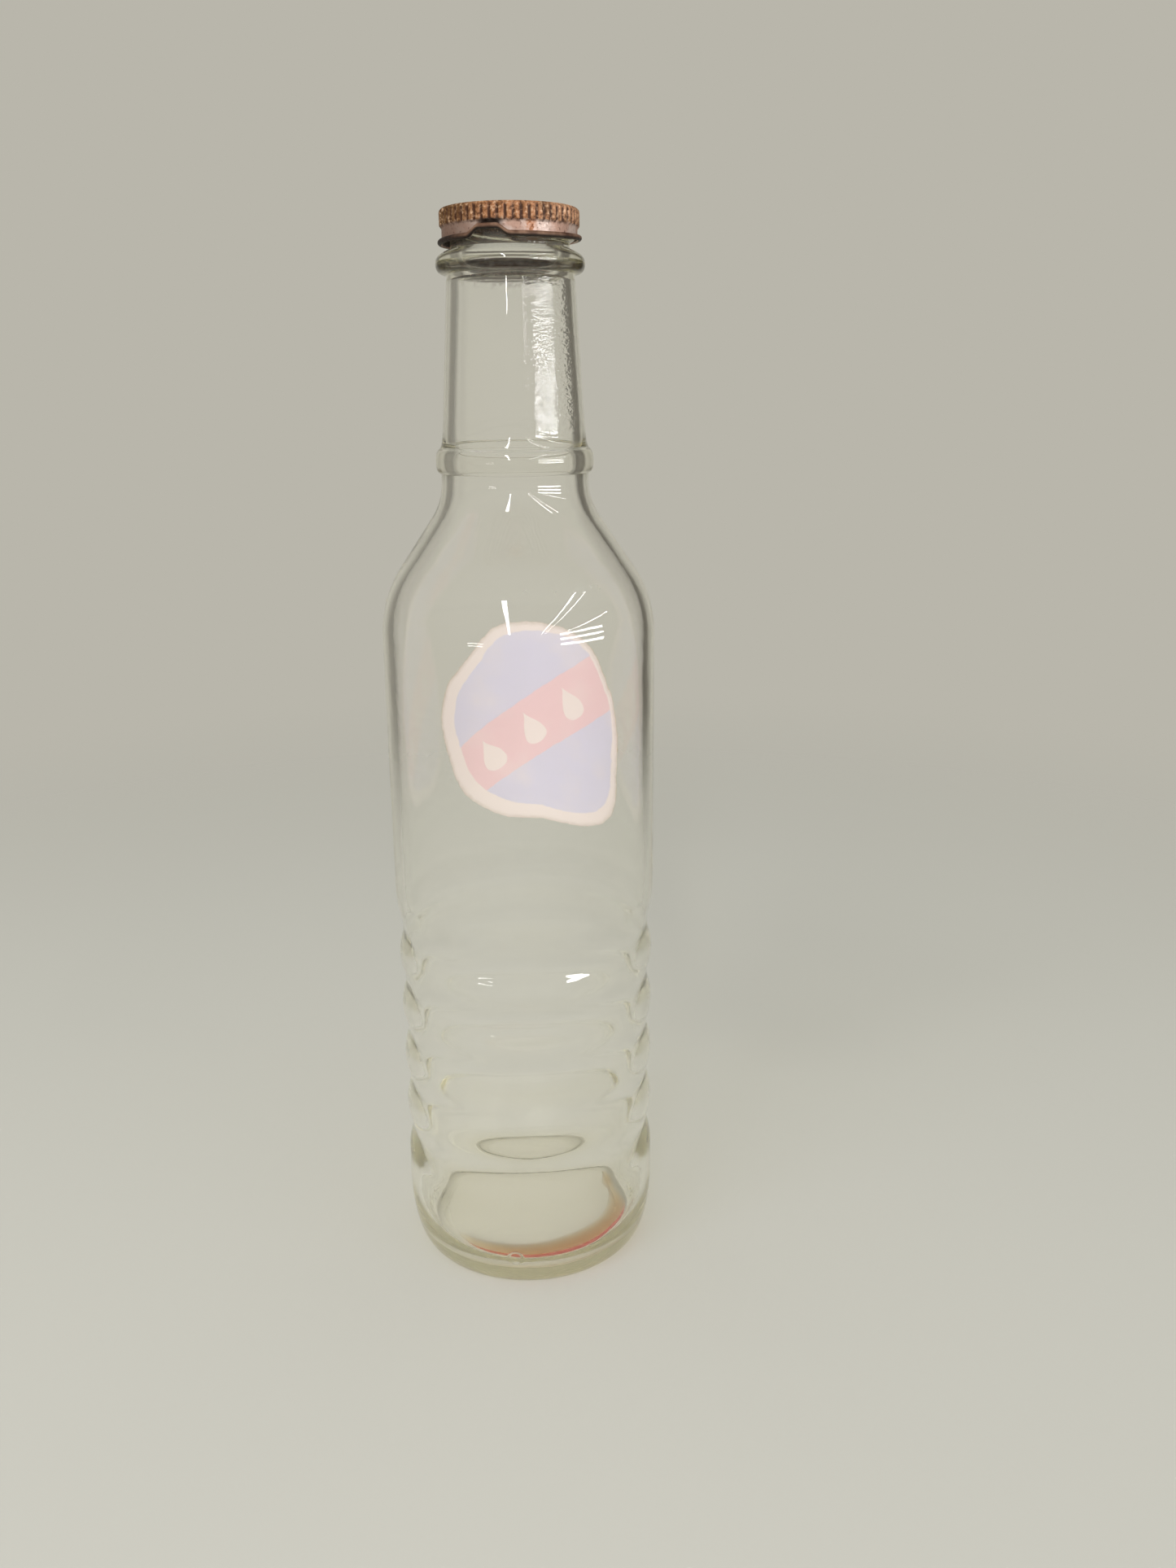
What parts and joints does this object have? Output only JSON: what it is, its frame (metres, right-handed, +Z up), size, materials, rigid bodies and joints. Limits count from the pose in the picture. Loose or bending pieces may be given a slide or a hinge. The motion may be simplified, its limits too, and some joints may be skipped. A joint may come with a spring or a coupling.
{
  "type": "oil bottle",
  "caption": "Tall clear-glass oil bottle with ribbed lower wall, sloped shoulder and long tapering neck, closed by a knurled tinplate screw cap with a cork wad.",
  "frame": {"origin": "middle of the base, on the bottle's axis, in the plane that it stands on", "axes": "+Z up along the bottle's axis; -Y is the front, where the cap's rim was prised up; the label is on the back, at +Y"},
  "size_m": [0.0816, 0.0821, 0.3204],
  "materials": {
    "flint_glass": "polished",
    "label_paper": "matte",
    "red_oil": "gloss",
    "waxed_paper": "satin",
    "cork": "matte",
    "rusted_tinplate": "satin"
  },
  "bodies": {
    "bottle": {"glass_bottle": "flint_glass", "label": "label_paper", "oil_residue": "red_oil"},
    "seal": {"cork_wad": "cork", "wad_facing": "waxed_paper"},
    "cap": {"cap_shell": "rusted_tinplate"}
  },
  "joints": [
    {"name": "cap_lift", "type": "slide", "parent": "bottle", "child": "seal", "axis": [0, 0, 1], "range_m": [0, 0.0128]},
    {"name": "cap_turn", "type": "hinge", "parent": "seal", "child": "cap", "pos_m": [0, 0, 0.318], "axis": [0, 0, 1], "range_deg": [0, 1080]}
  ],
  "couplings": [
    {"joint": "cap_lift", "follows": "cap_turn", "m_per_rad": 0.00067373}
  ]
}
